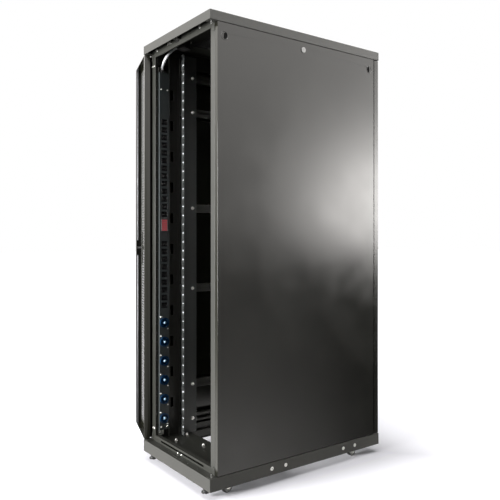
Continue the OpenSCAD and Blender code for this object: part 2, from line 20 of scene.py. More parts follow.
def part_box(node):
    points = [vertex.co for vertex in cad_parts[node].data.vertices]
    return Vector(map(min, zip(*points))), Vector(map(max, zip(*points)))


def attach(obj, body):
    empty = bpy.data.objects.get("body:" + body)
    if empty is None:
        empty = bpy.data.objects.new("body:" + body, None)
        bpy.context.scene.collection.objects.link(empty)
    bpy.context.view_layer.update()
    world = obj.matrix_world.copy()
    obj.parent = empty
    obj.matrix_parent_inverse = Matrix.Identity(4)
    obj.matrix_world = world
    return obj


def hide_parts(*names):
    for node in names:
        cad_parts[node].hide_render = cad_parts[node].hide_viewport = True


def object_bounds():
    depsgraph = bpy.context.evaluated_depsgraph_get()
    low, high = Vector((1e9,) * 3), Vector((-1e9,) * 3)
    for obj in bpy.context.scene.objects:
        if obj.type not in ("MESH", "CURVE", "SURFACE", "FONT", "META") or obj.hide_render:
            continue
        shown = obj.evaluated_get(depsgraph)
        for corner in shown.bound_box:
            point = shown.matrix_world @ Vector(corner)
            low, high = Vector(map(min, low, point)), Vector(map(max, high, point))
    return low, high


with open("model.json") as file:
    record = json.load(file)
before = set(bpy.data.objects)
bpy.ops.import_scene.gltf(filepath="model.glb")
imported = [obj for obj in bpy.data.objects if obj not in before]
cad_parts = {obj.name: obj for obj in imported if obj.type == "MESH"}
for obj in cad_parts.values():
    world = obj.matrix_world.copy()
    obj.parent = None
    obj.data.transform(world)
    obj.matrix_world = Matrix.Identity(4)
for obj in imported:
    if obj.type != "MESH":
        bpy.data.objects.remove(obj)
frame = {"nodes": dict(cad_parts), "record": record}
cad_low, cad_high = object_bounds()

MM = 0.001
UNIT = 44.45 * MM
UNITS = 42
REAR = Vector((0, 1, 0))
UP = Vector((0, 0, 1))
LEFT = Vector((-1, 0, 0))

nodes = frame["nodes"]
scene = bpy.context.scene
base_low, base_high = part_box("base_frame")
roof_low, roof_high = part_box("roof_tray")
strip_low, strip_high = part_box("power_strip_housing")
centre_x = (base_low.x + base_high.x) / 2
strip_y = (strip_low.y + strip_high.y) / 2


# ---------------------------------------------------------------- camera

CAMERA_PLACE = (centre_x - 2.352, 1.855, 1.097)
CAMERA_AIM = (0.8203, -0.5719, 0.0)
SENSOR_WIDTH = 36.0
LENS = 42.76
SHIFT = (0.044, -0.025)


def make_camera():
    """The photograph's view: from the rear left, level, the vertical edges upright."""
    data = bpy.data.cameras.new("camera")
    data.sensor_width = SENSOR_WIDTH
    data.lens = LENS
    data.shift_x, data.shift_y = SHIFT
    camera = bpy.data.objects.new("camera", data)
    scene.collection.objects.link(camera)
    camera.location = CAMERA_PLACE
    camera.rotation_euler = Vector(CAMERA_AIM).to_track_quat("-Z", "Y").to_euler()
    scene.camera = camera


# ---------------------------------------------------------------- building pieces


def piece_from(name, builder, slot, body="cabinet"):
    """A new mesh piece from a bmesh, with its slot's material, riding on a body."""
    mesh = bpy.data.meshes.new(name)
    builder.to_mesh(mesh)
    builder.free()
    piece = bpy.data.objects.new(name, mesh)
    scene.collection.objects.link(piece)
    mesh.materials.append(materials[slot])
    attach(piece, body)
    return piece


def add_block(builder, low, high):
    """A box from its low corner to its high corner."""
    middle = (Vector(low) + Vector(high)) / 2
    size = Vector(high) - Vector(low)
    matrix = Matrix.Translation(middle) @ Matrix.Diagonal((*size, 1))
    bmesh.ops.create_cube(builder, size=1, matrix=matrix)


def add_turned(builder, profile, place, axis, steps=24):
    """Turns a profile of (radius, height) points, in mm, about an axis through a place."""
    turn = Vector(axis).to_track_quat("Z", "Y").to_matrix().to_4x4()
    matrix = Matrix.Translation(Vector(place)) @ turn
    rings = []
    for radius, height in profile:
        if radius == 0:
            rings.append([builder.verts.new(matrix @ Vector((0, 0, height * MM)))])
            continue
        ring = []
        for step in range(steps):
            angle = math.tau * step / steps
            spot = Vector((radius * math.cos(angle), radius * math.sin(angle), height)) * MM
            ring.append(builder.verts.new(matrix @ spot))
        rings.append(ring)
    for lower, upper in zip(rings, rings[1:]):
        for step in range(steps):
            after = (step + 1) % steps
            corners = (
                lower[step % len(lower)],
                lower[after % len(lower)],
                upper[after % len(upper)],
                upper[step % len(upper)],
            )
            # A ring that is one point gives a triangle.
            unique = list(dict.fromkeys(corners))
            if len(unique) > 2:
                builder.faces.new(unique)


def add_prism(builder, near, far):
    """The sides between two loops of vertices, without the two ends."""
    for k in range(len(near)):
        j = (k + 1) % len(near)
        builder.faces.new((near[k], near[j], far[j], far[k]))


def add_screw(builder, place, axis, size):
    """A domed screw head with a round driver recess, of that diameter in mm."""
    r = size / 2
    rim = [(r, 0), (r, 0.25 * r), (0.86 * r, 0.5 * r), (0.62 * r, 0.64 * r), (0.36 * r, 0.7 * r)]
    recess = [(0.32 * r, 0.3 * r), (0, 0.2 * r)]
    add_turned(builder, rim + recess, place, axis, 20)


def smooth(piece):
    """Smooth shading with the sharp edges kept."""
    for face in piece.data.polygons:
        face.use_smooth = True
    piece.data.set_sharp_from_angle(angle=math.radians(40))


def soften(piece, width, segments=2):
    """A small rounding on the piece's edges."""
    bevel = piece.modifiers.new("edge", "BEVEL")
    bevel.width = width
    bevel.segments = segments
    bevel.limit_method = "ANGLE"
    bevel.angle_limit = math.radians(40)


def thicken(piece, thickness, offset=-1):
    """Gives a surface a thickness, behind it or, with offset 0, half on each side."""
    solid = piece.modifiers.new("thickness", "SOLIDIFY")
    solid.thickness = thickness
    solid.offset = offset


# ---------------------------------------------------------------- the supply lead

LEAD_D = 14 * MM
LEAD_BEND = 110 * MM
LEAD_TURN = math.radians(17)
LEAD_TAIL = 15 * MM
LEAD_STEPS = 30
LEAD_BACK = 6 * MM
LEAD_TOP_Z = roof_low.z + 16 * MM
# The boot, in mm.
BOOT_RIBS = 5
BOOT_RIB_PITCH = 6
BOOT_RIB_RADIUS = 9.6
BOOT_TAPER = 0.45
BOOT_GROOVE = 1.1


def lead_route():
    """Up out of the strip, over in a quarter bend, and straight into the gland."""
    away = Vector((-math.cos(LEAD_TURN), -math.sin(LEAD_TURN), 0))
    foot = Vector(((strip_low.x + strip_high.x) / 2, strip_y + LEAD_BACK, strip_high.z))
    start_z = LEAD_TOP_Z - LEAD_BEND
    lean = math.asin((foot.z - start_z) / LEAD_BEND)
    route = []
    for step in range(LEAD_STEPS + 1):
        turned = lean + (math.pi / 2 - lean) * step / LEAD_STEPS
        across = LEAD_BEND * (1 - math.cos(turned))
        height = start_z + LEAD_BEND * math.sin(turned)
        route.append(Vector((foot.x, foot.y, height)) + across * away)
    bend_end = route[-1]
    for part in (0.5, 1):
        route.append(bend_end + away * LEAD_TAIL * part)
    return route


def make_lead(route):
    """The lead, as a curve along its route, and the ribbed boot where it leaves the strip."""
    curve = bpy.data.curves.new("supply_lead", "CURVE")
    curve.dimensions = "3D"
    curve.bevel_depth = LEAD_D / 2
    curve.bevel_resolution = 6
    curve.use_fill_caps = True
    spline = curve.splines.new("POLY")
    spline.points.add(len(route) - 1)
    for point, spot in zip(spline.points, route):
        point.co = (*spot, 1)
    lead = bpy.data.objects.new("supply_lead", curve)
    scene.collection.objects.link(lead)
    curve.materials.append(materials["lead_rubber"])
    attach(lead, "cabinet")
    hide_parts("power_lead")
    builder = bmesh.new()
    profile = [(9.5, 0)]
    for rib in range(BOOT_RIBS):
        height = 1 + BOOT_RIB_PITCH * rib
        radius = BOOT_RIB_RADIUS - BOOT_TAPER * rib
        groove = radius - BOOT_GROOVE
        profile += [(radius, height), (radius, height + 3.4)]
        profile += [(groove, height + 4), (groove, height + 5.6)]
    profile += [(7.2, 31)]
    add_turned(builder, profile, route[0], UP, 32)
    smooth(piece_from("lead_boot", builder, "handle_plastic"))


# ---------------------------------------------------------------- shader nodes


def feed(tree, socket, value):
    """Sets a socket to a plain value, or links another node's output to it."""
    if isinstance(value, bpy.types.NodeSocket):
        tree.links.new(value, socket)
    else:
        socket.default_value = value


def calculate(tree, operation, *values):
    """A Math node on plain values or other nodes' outputs."""
    node = tree.nodes.new("ShaderNodeMath")
    node.operation = operation
    for socket, value in zip(node.inputs, values):
        feed(tree, socket, value)
    return node.outputs[0]


def remap(tree, value, start, end, low=0.0, high=1.0, kind="LINEAR"):
    """Maps the values from start to end onto low to high, and holds them beyond."""
    node = tree.nodes.new("ShaderNodeMapRange")
    node.interpolation_type = kind
    limits = {"From Min": start, "From Max": end, "To Min": low, "To Max": high}
    for socket, limit in limits.items():
        node.inputs[socket].default_value = limit
    tree.links.new(value, node.inputs["Value"])
    return node.outputs["Result"]


# ---------------------------------------------------------------- light

FILL_STRENGTH = 0.05
ROOM_TINT = (1.0, 0.975, 0.95)
# The dim room all round, as (sine of elevation, radiance).
ROOM_LEVELS = [(-1, 0.06), (-0.06, 0.06), (0.06, 0.35), (0.5, 0.9), (1, 1.2)]
# Each panel: its bearing from +X, the angles off it to which it is full and at which it is
# gone, in degrees, and its levels as above.
SKY_PANELS = (
    # The one that the rear faces mirror.
    (35, 20, 34, [
        (-1, 2.4), (-0.33, 2.4), (-0.2, 0.8), (-0.1, 0.3), (0.0, 0.6), (0.2, 1.6), (0.35, 2.0),
        (0.6, 1.2), (1, 0.5),
    ]),
    # The one that the open leaf mirrors.
    (-6, 8, 22, [(-1, 0.1), (-0.2, 0.15), (0.05, 0.5), (0.3, 1.2), (0.6, 0.8), (1, 0.5)]),
    # Those that the near side panel mirrors: a broad one above, a strong and a weak one below.
    (222, 30, 60, [
        (-1, 0.0), (-0.05, 0.0), (0.05, 1.3), (0.3, 2.2), (0.5, 2.2), (0.8, 0.8), (1, 0.3),
    ]),
    (258, 24, 40, [
        (-1, 0), (-0.06, 0), (-0.03, 2), (0.0, 15), (0.045, 21), (0.1, 15), (0.14, 9),
        (0.19, 3), (0.26, 0.6), (0.4, 0), (1, 0),
    ]),
    (206, 6, 24, [
        (-1, 1.6), (-0.35, 1.6), (-0.25, 0.8), (-0.1, 0.5), (-0.02, 0.5), (0.1, 0.0), (1, 0),
    ]),
    # The side of the room behind the camera.
    (145, 15, 45, [(-1, 0.3), (0, 1.0), (0.5, 1.5), (1, 0.5)]),
)


class Sky:
    """The studio round the object, as broad soft panels of light seen only in its gloss."""

    def __init__(self):
        world = bpy.data.worlds.new("studio")
        scene.world = world
        world.use_nodes = True
        self.tree = world.node_tree
        self.tree.nodes.clear()
        coords = self.tree.nodes.new("ShaderNodeTexCoord")
        split = self.tree.nodes.new("ShaderNodeSeparateXYZ")
        self.tree.links.new(coords.outputs["Generated"], split.inputs[0])
        self.x, self.y, self.z = split.outputs
        self.total = self.profile(ROOM_LEVELS)

    def math(self, operation, *values):
        return calculate(self.tree, operation, *values)

    def profile(self, levels):
        """A radiance that depends only on the elevation."""
        ramp = self.tree.nodes.new("ShaderNodeFloatCurve")
        peak = max(value for _, value in levels)
        points = ramp.mapping.curves[0].points
        while len(points) < len(levels):
            points.new(0.5, 0.5)
        for point, (sine, value) in zip(points, levels):
            point.location = ((sine + 1) / 2, value / peak)
            point.handle_type = "VECTOR"
        ramp.mapping.update()
        place = self.math("MULTIPLY", self.math("ADD", self.z, 1), 0.5)
        self.tree.links.new(place, ramp.inputs["Value"])
        return self.math("MULTIPLY", ramp.outputs[0], peak)

    def add_panel(self, bearing, inner, outer, levels):
        """A panel about a bearing, full to inner and gone at outer degrees from it."""
        angle = math.radians(bearing)
        along_x = self.math("MULTIPLY", self.x, math.cos(angle))
        along_y = self.math("MULTIPLY", self.y, math.sin(angle))
        along = self.math("ADD", along_x, along_y)
        # Just over 1, so that nothing is divided by 0 straight up.
        flat_square = self.math("SUBTRACT", 1.0001, self.math("MULTIPLY", self.z, self.z))
        cosine = self.math("DIVIDE", along, self.math("POWER", flat_square, 0.5))
        gone, full = (math.cos(math.radians(edge)) for edge in (outer, inner))
        side = remap(self.tree, cosine, gone, full, kind="SMOOTHSTEP")
        panel = self.math("MULTIPLY", side, self.profile(levels))
        self.total = self.math("ADD", self.total, panel)

    def finish(self):
        """Gloss sees the panels, the camera sees white, and the rest a dim fill."""
        new, link = self.tree.nodes.new, self.tree.links.new
        path, out = new("ShaderNodeLightPath"), new("ShaderNodeOutputWorld")
        fill, room, white = (new("ShaderNodeBackground") for _ in range(3))
        fill.inputs["Strength"].default_value = FILL_STRENGTH
        room.inputs["Color"].default_value = (*ROOM_TINT, 1)
        link(self.total, room.inputs["Strength"])
        white.inputs["Color"].default_value = (1, 1, 1, 1)
        gloss, mix = new("ShaderNodeMixShader"), new("ShaderNodeMixShader")
        link(path.outputs["Is Glossy Ray"], gloss.inputs[0])
        link(fill.outputs[0], gloss.inputs[1])
        link(room.outputs[0], gloss.inputs[2])
        link(path.outputs["Is Camera Ray"], mix.inputs[0])
        link(gloss.outputs[0], mix.inputs[1])
        link(white.outputs[0], mix.inputs[2])
        link(mix.outputs[0], out.inputs[0])


def make_sky():
    sky = Sky()
    for panel in SKY_PANELS:
        sky.add_panel(*panel)
    sky.finish()


def area_light(name, place, aim, size, power):
    """A square light at a place, turned towards another."""
    data = bpy.data.lights.new(name, "AREA")
    data.shape = "RECTANGLE"
    data.size = data.size_y = size
    data.energy = power
    light = bpy.data.objects.new(name, data)
    scene.collection.objects.link(light)
    light.location = Vector(place)
    light.rotation_euler = (Vector(aim) - Vector(place)).to_track_quat("-Z", "Y").to_euler()


def make_lights():
    """A large key straight behind the open doorway, and a weak fill overhead."""
    area_light(
        "key",
        place=(centre_x + 0.5, 5.0, 1.25),
        aim=(centre_x, 0.5, 1.15),
        size=2.2,
        power=760,
    )
    area_light(
        "overhead",
        place=(centre_x - 0.5, 0.4, 5.0),
        aim=(centre_x, 0.3, 0.0),
        size=5.0,
        power=200,
    )


FLOOR_HALF = 40.0
FLOOR_COLOUR = (0.80, 0.79, 0.83, 1)
FLOOR_GLOW = (0.97, 0.97, 1, 1)
# The distances from the base's edge, less than 0 under the base, between which the floor's
# own light grows, and its strength at both.
CONTACT_FADE = (-0.12, 0.38, 0.02, 0.62)
# The same for what is added far off, where the floor is as white as the background.
HORIZON_FADE = (0.4, 2.2, 0.0, 0.5)


def distance_outside_base(tree):
    """How far a point of the floor lies outside the base's rectangle."""
    split = tree.nodes.new("ShaderNodeSeparateXYZ")
    coords = tree.nodes.new("ShaderNodeTexCoord")
    tree.links.new(coords.outputs["Object"], split.inputs[0])
    outside = []
    sides = ((base_low.x, base_high.x), (base_low.y, base_high.y))
    for place, (low, high) in zip(split.outputs, sides):
        offset = calculate(tree, "SUBTRACT", place, (low + high) / 2)
        size = calculate(tree, "ABSOLUTE", offset)
        outside.append(calculate(tree, "SUBTRACT", size, (high - low) / 2))
    return calculate(tree, "MAXIMUM", *outside)


def make_floor():
    """A large pale floor, kept out of the object's mirror-like reflections."""
    mesh = bpy.data.meshes.new("floor")
    turns = ((-1, -1), (1, -1), (1, 1), (-1, 1))
    corners = [(x * FLOOR_HALF, y * FLOOR_HALF, 0) for x, y in turns]
    mesh.from_pydata(corners, [], [(0, 1, 2, 3)])
    floor = bpy.data.objects.new("floor", mesh)
    scene.collection.objects.link(floor)
    floor.location = (0, 0, cad_low.z)
    floor.visible_glossy = False
    floor.visible_diffuse = False
    material = bpy.data.materials.new("floor_white")
    material.use_nodes = True
    tree = material.node_tree
    shader = tree.nodes["Principled BSDF"]
    shader.inputs["Base Color"].default_value = FLOOR_COLOUR
    shader.inputs["Roughness"].default_value = 0.95
    shader.inputs["Specular IOR Level"].default_value = 0.0
    shader.inputs["Emission Color"].default_value = FLOOR_GLOW
    # Its own light fades out under the cabinet, as in a contact shadow.
    away = distance_outside_base(tree)
    near_glow = remap(tree, away, *CONTACT_FADE, kind="SMOOTHSTEP")
    far_glow = remap(tree, away, *HORIZON_FADE)
    tree.links.new(calculate(tree, "ADD", near_glow, far_glow), shader.inputs["Emission Strength"])
    mesh.materials.append(material)


# ---------------------------------------------------------------- materials

# The radius between which a caster wheel's hub ends and its tread starts.
HUB_EDGE = (0.0185, 0.0188)
HUB_COLOUR = (0.75, 0.75, 0.72)
TREAD_COLOUR = (0.014, 0.014, 0.014)
DISPLAY_COLOUR = (0.4, 0.08, 0.09)


def scaled(colour, factor):
    return tuple(factor * c for c in colour)


class Shader:
    """A short way to build one procedural material."""

    def __init__(self, name):
        self.material = bpy.data.materials.new(name)
        self.material.use_nodes = True
        self.tree = self.material.node_tree
        self.bsdf = self.tree.nodes["Principled BSDF"]
        self.coords = self.tree.nodes.new("ShaderNodeTexCoord").outputs["Object"]

    def set(self, socket, value):
        self.bsdf.inputs[socket].default_value = value

    def drive(self, **sources):
        for socket, source in sources.items():
            self.tree.links.new(source, self.bsdf.inputs[socket.replace("_", " ")])

    def noise(self, scale, detail=3.0, stretch=(1, 1, 1)):
        mapping = self.tree.nodes.new("ShaderNodeMapping")
        mapping.inputs["Scale"].default_value = stretch
        node = self.tree.nodes.new("ShaderNodeTexNoise")
        node.inputs["Scale"].default_value = scale
        node.inputs["Detail"].default_value = detail
        self.tree.links.new(self.coords, mapping.inputs["Vector"])
        self.tree.links.new(mapping.outputs["Vector"], node.inputs["Vector"])
        return node.outputs["Fac"]

    def cells(self, scale):
        node = self.tree.nodes.new("ShaderNodeTexVoronoi")
        node.inputs["Scale"].default_value = scale
        self.tree.links.new(self.coords, node.inputs["Vector"])
        return node.outputs["Color"]

    def spread(self, value, low, high, start=0.3, end=0.7):
        return remap(self.tree, value, start, end, low, high)

    def mix(self, factor, first, second):
        node = self.tree.nodes.new("ShaderNodeMix")
        node.data_type = "RGBA"
        self.tree.links.new(factor, node.inputs[0])
        for socket, colour in ((node.inputs[6], first), (node.inputs[7], second)):
            feed(self.tree, socket, (*colour, 1) if isinstance(colour, tuple) else colour)
        return node.outputs[2]

    def bump(self, height, strength, distance, under=None):
        node = self.tree.nodes.new("ShaderNodeBump")
        node.inputs["Strength"].default_value = strength
        node.inputs["Distance"].default_value = distance
        self.tree.links.new(height, node.inputs["Height"])
        if under is not None:
            self.tree.links.new(under, node.inputs["Normal"])
        return node.outputs["Normal"]


def powder_coat(name, colour, dust, rough, peel=0.12):
    """Sprayed and baked paint: orange peel, faint mottling, a film of dust in places."""
    shader = Shader(name)
    cloud = shader.spread(shader.noise(1.6, 6, (1, 1, 0.6)), 0.0, 0.4, 0.4, 0.75)
    speck = shader.spread(shader.noise(380, 2), 0.0, 0.4)
    tint = shader.mix(speck, colour, scaled(colour, 1.7))
    shader.drive(Base_Color=shader.mix(cloud, tint, dust))
    shader.drive(Roughness=shader.spread(shader.noise(6, 4), rough - 0.03, rough + 0.04))
    shader.drive(Normal=shader.bump(shader.noise(520, 2), peel, 0.4 * MM))
    return shader.material


def plated(name, colour, rough, spangle=160):
    """Zinc or chrome plating: a fine spangle and duller patches."""
    shader = Shader(name)
    grain = shader.spread(shader.cells(spangle), 0, 1, 0, 1)
    shader.drive(Base_Color=shader.mix(grain, scaled(colour, 0.82), colour))
    shader.drive(Roughness=shader.spread(shader.noise(30, 4), rough - 0.06, rough + 0.1))
    shader.drive(Normal=shader.bump(shader.noise(900, 2), 0.08, 0.3 * MM))
    shader.set("Metallic", 0.9)
    return shader.material


def moulded(name, colour, rough):
    """Moulded plastic or rubber with a fine spark-eroded grain."""
    shader = Shader(name)
    patches = shader.spread(shader.noise(12, 3), 0, 1)
    shader.drive(Base_Color=shader.mix(patches, colour, scaled(colour, 1.3)))
    shader.drive(Roughness=shader.spread(shader.noise(60, 3), rough - 0.05, rough + 0.07))
    shader.drive(Normal=shader.bump(shader.noise(900, 2), 0.15, 0.3 * MM))
    return shader.material


def matt(name, colour, rough):
    """Moulded plastic with hardly any shine."""
    material = moulded(name, colour, rough)
    bsdf = material.node_tree.nodes["Principled BSDF"]
    bsdf.inputs["Specular IOR Level"].default_value = 0.1
    return material


def lamp(name, colour, strength):
    """A lit display behind a smoked window, a little uneven."""
    material = moulded(name, scaled(colour, 0.3), 0.15)
    bsdf = material.node_tree.nodes["Principled BSDF"]
    bsdf.inputs["Emission Color"].default_value = (*colour, 1)
    bsdf.inputs["Emission Strength"].default_value = strength
    return material


def wheel_material(name, axle):
    """A black tread outside a light nylon hub, split by the distance from the axle."""
    shader = Shader(name)
    spot = shader.coords
    for operation, operand in (("SUBTRACT", axle), ("MULTIPLY", (0, 1, 1)), ("LENGTH", None)):
        node = shader.tree.nodes.new("ShaderNodeVectorMath")
        node.operation = operation
        shader.tree.links.new(spot, node.inputs[0])
        if operand is not None:
            node.inputs[1].default_value = operand
        spot = node.outputs[0]
    tread = shader.spread(node.outputs["Value"], 0, 1, *HUB_EDGE)
    shader.drive(Base_Color=shader.mix(tread, HUB_COLOUR, TREAD_COLOUR))
    shader.drive(Roughness=shader.spread(tread, 0.35, 0.65, 0, 1))
    shader.drive(Normal=shader.bump(shader.noise(300, 3), 0.15, 0.4 * MM))
    return shader.material


def make_materials():
    """Every material by its name, which is a slot's name where the record has the slot."""
    black, dust = (0.016, 0.0165, 0.0135), (0.026, 0.0255, 0.021)
    rows = (
        # Name, colour, dust's colour, roughness, and how strong the orange peel is.
        (powder_coat, "frame_black", black, dust, 0.42),
        (powder_coat, "panel_black", (0.008, 0.0083, 0.005), (0.011, 0.011, 0.007), 0.17, 0.06),
        (powder_coat, "mesh_black", black, dust, 0.42),
        (powder_coat, "rail_black", (0.085, 0.09, 0.088), (0.1, 0.104, 0.1), 0.42),
        (powder_coat, "strip_metal", (0.05, 0.057, 0.058), (0.065, 0.07, 0.07), 0.36),
        (powder_coat, "foot_steel", (0.02, 0.02, 0.02), (0.03, 0.03, 0.03), 0.4),
        # Name, colour, roughness, and how fine the spangle is.
        (plated, "zinc", (0.82, 0.82, 0.79), 0.3),
        (plated, "rod_zinc", (0.2, 0.2, 0.21), 0.5),
        (plated, "fork_zinc", (0.65, 0.65, 0.62), 0.35),
        (plated, "lock_chrome", (0.2, 0.2, 0.2), 0.34, 60),
        # Name, colour, roughness.
        (matt, "latch_plastic", (0.003, 0.003, 0.003), 0.8),
        (moulded, "handle_plastic", (0.012, 0.012, 0.012), 0.35),
        (moulded, "outlet_plastic", (0.01, 0.01, 0.011), 0.22),
        (moulded, "socket_blue", (0.006, 0.035, 0.09), 0.25),
        # The caps' pale blue-white is a painted highlight: the glint at the middle of each socket.
        (moulded, "cap_blue", (0.42, 0.62, 0.78), 0.25),
        (moulded, "meter_plastic", (0.05, 0.05, 0.052), 0.4),
        (moulded, "lead_rubber", (0.45, 0.46, 0.47), 0.5),
        (moulded, "box_plastic", (0.01, 0.009, 0.009), 0.45),
        (moulded, "brush", (0.015, 0.015, 0.015), 0.7),
        (moulded, "mark_white", (0.75, 0.77, 0.8), 0.5),
    )
    return {name: make(name, *settings) for make, name, *settings in rows}


def cad_material(name, slot):
    """A CAD node's material: its slot's, except on the wheels and the locking rods."""
    if name.startswith("caster_wheels_"):
        low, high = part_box(name)
        return wheel_material("tyre_" + name.removeprefix("caster_wheels_"), (low + high) / 2)
    if "_rod_" in name:
        return materials["rod_zinc"]
    return materials[slot]


def dress_cad():
    """Gives every CAD node its material, and a small rounding on its edges."""
    for part in frame["record"]["subparts"]:
        name = part["node"]
        thing = nodes[name]
        thing.data.materials.clear()
        thing.data.materials.append(cad_material(name, part["material_slot"]))
        weld = thing.modifiers.new("weld", "WELD")
        weld.merge_threshold = 0.01 * MM
        # The rails' square holes keep their edges.
        if not name.startswith(("rail_front", "rail_rear")):
            soften(thing, 0.5 * MM)


# ---------------------------------------------------------------- pierced sheets

HOLE_PITCH = 16 * MM
HOLE_WIDTH = 12.6 * MM
SHEET = 1.1 * MM
SHEET_BORDER = 10 * MM
BORDER_WIDTH = SHEET_BORDER + 7 * MM
BORDER_THICKNESS = 1.6 * MM
SPINDLE_CLEAR = 19 * MM
# The front door's handle spindle, from the cabinet's middle.
FRONT_SPINDLE_X = -270 * MM
# The rear leaf, drawn folded open by this turn, and its sheet's place on it.
LEAF_FOLD = math.radians(-198)
LEAF_SHEET_NEAR = 15 * MM
LEAF_SHEET_FAR = 266 * MM
LEAF_SHEET_DEPTH = 10.85 * MM


def hexagon_sheet(place, low, high, spindle):
    """Rings round hexagonal holes, none of them at the handle's spindle."""
    builder = bmesh.new()
    row_pitch = HOLE_PITCH * math.sqrt(3) / 2
    columns = int((high[0] - low[0] - 2 * SHEET_BORDER) / HOLE_PITCH)
    rows = int((high[1] - low[1] - 2 * SHEET_BORDER) / row_pitch)
    first_across = (low[0] + high[0]) / 2 - HOLE_PITCH * (columns - 0.5) / 2
    first_up = (low[1] + high[1]) / 2 - row_pitch * (rows - 1) / 2
    radii = (HOLE_PITCH / math.sqrt(3), HOLE_WIDTH / math.sqrt(3))
    turns = [math.radians(30 + 60 * k) for k in range(6)]
    for row in range(rows):
        for column in range(columns):
            across = first_across + HOLE_PITCH * (column + 0.5 * (row % 2))
            up = first_up + row_pitch * row
            if spindle and math.dist((across, up), spindle) < SPINDLE_CLEAR:
                continue
            outer, inner = (
                [
                    builder.verts.new(place(across + r * math.cos(t), 0, up + r * math.sin(t)))
                    for t in turns
                ]
                for r in radii
            )
            for k in range(6):
                j = (k + 1) % 6
                builder.faces.new((outer[k], outer[j], inner[j], inner[k]))
    bmesh.ops.remove_doubles(builder, verts=builder.verts, dist=0.02 * MM)
    return builder


def border_lengths(low, high, spindle):
    """The border's (left, right, bottom, top) lengths, which leave the spindle free."""
    bottom, top = low[1] + BORDER_WIDTH, high[1] - BORDER_WIDTH
    lengths = [(low[0], high[0], low[1], bottom), (low[0], high[0], top, high[1])]
    for left, right in ((low[0], low[0] + BORDER_WIDTH), (high[0] - BORDER_WIDTH, high[0])):
        if spindle and left - 12 * MM < spindle[0] < right + 12 * MM:
            lengths.append((left, right, bottom, spindle[1] - 10 * MM))
            lengths.append((left, right, spindle[1] + 10 * MM, top))
        else:
            lengths.append((left, right, bottom, top))
    return lengths


def sheet_border(place, low, high, spindle):
    """The plain border on both faces of the sheet."""
    builder = bmesh.new()
    half = BORDER_THICKNESS / 2
    for left, right, bottom, top in border_lengths(low, high, spindle):
        outline = ((left, bottom), (right, bottom), (right, top), (left, top))
        back, front = (
            [builder.verts.new(place(across, deep, up)) for across, up in outline]
            for deep in (-half, half)
        )
        builder.faces.new(back[::-1])
        builder.faces.new(front)
        add_prism(builder, back, front)
    bmesh.ops.recalc_face_normals(builder, faces=builder.faces)
    return builder


def pierced_sheet(name, node, slot, body, place, low, high, spindle=None):
    """A sheet pierced with hexagons, in a plain border.

    low and high are its corners (across, up) in its own plane, where place(across, deep,
    up) gives a point. spindle is the place of the handle's spindle in that plane.
    """
    piece = piece_from(name, hexagon_sheet(place, low, high, spindle), slot, body)
    thicken(piece, SHEET, offset=0)
    rim = piece_from(name + "_border", sheet_border(place, low, high, spindle), slot, body)
    soften(rim, 0.3 * MM, 1)
    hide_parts(node)


def make_front_sheet():
    """The front door's sheet, which lies across X with the door closed."""
    low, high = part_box("front_door_mesh")
    lever_low, lever_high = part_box("front_handle_lever")
    depth = (low.y + high.y) / 2
    pierced_sheet(
        "front_door_grille",
        "front_door_mesh",
        "mesh_black",
        "front_door",
        lambda across, deep, up: Vector((across, depth + deep, up)),
        (low.x, low.z),
        (high.x, high.z),
        (centre_x + FRONT_SPINDLE_X, (lever_low.z + lever_high.z) / 2),
    )


def make_leaf_sheet():
    """The rear leaf's sheet, along the leaf as it is drawn, folded open about its pins."""
    low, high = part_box("rear_leaf_mesh")
    joints = {joint["name"]: joint for joint in frame["record"]["behaviour"]["joints"]}
    hinge = Vector(joints["rear_leaf_hinge"]["pos_m"])
    along = Vector((-math.cos(LEAF_FOLD), -math.sin(LEAF_FOLD), 0))
    outward = Vector((-math.sin(LEAF_FOLD), math.cos(LEAF_FOLD), 0))
    origin = Vector((hinge.x, hinge.y, 0)) + outward * LEAF_SHEET_DEPTH
    pierced_sheet(
        "rear_leaf_grille",
        "rear_leaf_mesh",
        "mesh_black",
        "rear_leaf",
        lambda across, deep, up: origin + along * across + outward * deep + UP * up,
        (LEAF_SHEET_NEAR, low.z),
        (LEAF_SHEET_FAR, high.z),
    )


# ---------------------------------------------------------------- the power strip

SOCKETS = 6
SOCKET_SIZE = 49 * MM
METER_ROWS = 6
# Profiles of (radius, height) points, in mm.
CAP_PROFILE = [(6.2, 0), (6.2, 1.2), (5.6, 3.0), (4.2, 4.3), (2.2, 5.0), (0, 5.2)]
CAP_RECESS = 4.6 * MM


def socket_levels():
    """The height of each blue socket's middle."""
    low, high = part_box("power_strip_blue_sockets")
    pitch = (high.z - low.z - SOCKET_SIZE) / (SOCKETS - 1)
    return [low.z + SOCKET_SIZE / 2 + k * pitch for k in range(SOCKETS)]


def make_strip_screws():
    """A large screw over each blue socket, a small one under it, and two pairs at the ends."""
    face_x = strip_low.x
    builder = bmesh.new()
    for level in socket_levels():
        add_screw(builder, (face_x, strip_y + 20 * MM, level + 29 * MM), LEFT, 9)
        add_screw(builder, (face_x, strip_y - 20 * MM, level - 31 * MM), LEFT, 6)
    for side in (-1, 1):
        for z in (strip_high.z - 84 * MM, strip_low.z + 16 * MM):
            add_screw(builder, (face_x, strip_y + side * 17 * MM, z), LEFT, 8)
    smooth(piece_from("strip_screws", builder, "zinc"))


def make_socket_caps():
    """A domed cap on the middle of each blue socket; its pale blue-white colour is a painted
    highlight, the glint at the socket's middle.
    """
    builder = bmesh.new()
    for level in socket_levels():
        add_turned(builder, CAP_PROFILE, (strip_low.x - CAP_RECESS, strip_y, level), LEFT, 28)
    smooth(piece_from("socket_caps", builder, "cap_blue"))


